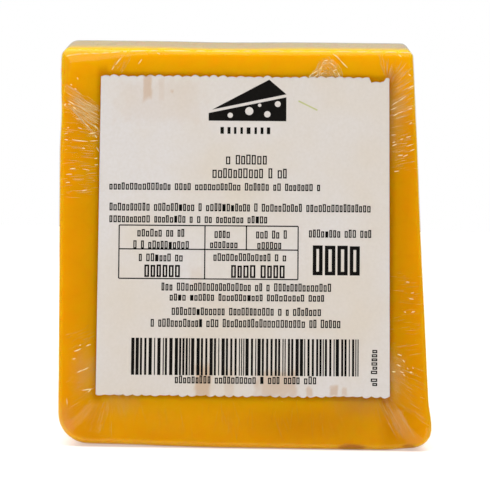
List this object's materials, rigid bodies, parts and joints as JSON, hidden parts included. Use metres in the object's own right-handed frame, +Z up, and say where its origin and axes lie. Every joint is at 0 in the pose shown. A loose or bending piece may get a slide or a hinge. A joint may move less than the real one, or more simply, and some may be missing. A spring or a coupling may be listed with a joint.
{
  "type": "film-wrapped cheddar block",
  "caption": "Thick hand-cut block of orange cheddar in tight clear film, standing on its flat base, with a white paper scale label on its front face.",
  "frame": {"origin": "middle of the bounding box's underside, on the surface that the block stands on", "axes": "+Z up, -Y out of the labelled front face, +X to the right seen from the front"},
  "size_m": [0.0888, 0.0342, 0.0963],
  "materials": {
    "cheddar": "moist orange cheddar seen through glossy clear film",
    "film": "thin clear stretch film, glossy, finely wrinkled",
    "paper": "matte white thermal label paper"
  },
  "bodies": {
    "root": {"cheddar_block": "cheddar", "label": "paper"}
  },
  "joints": []
}
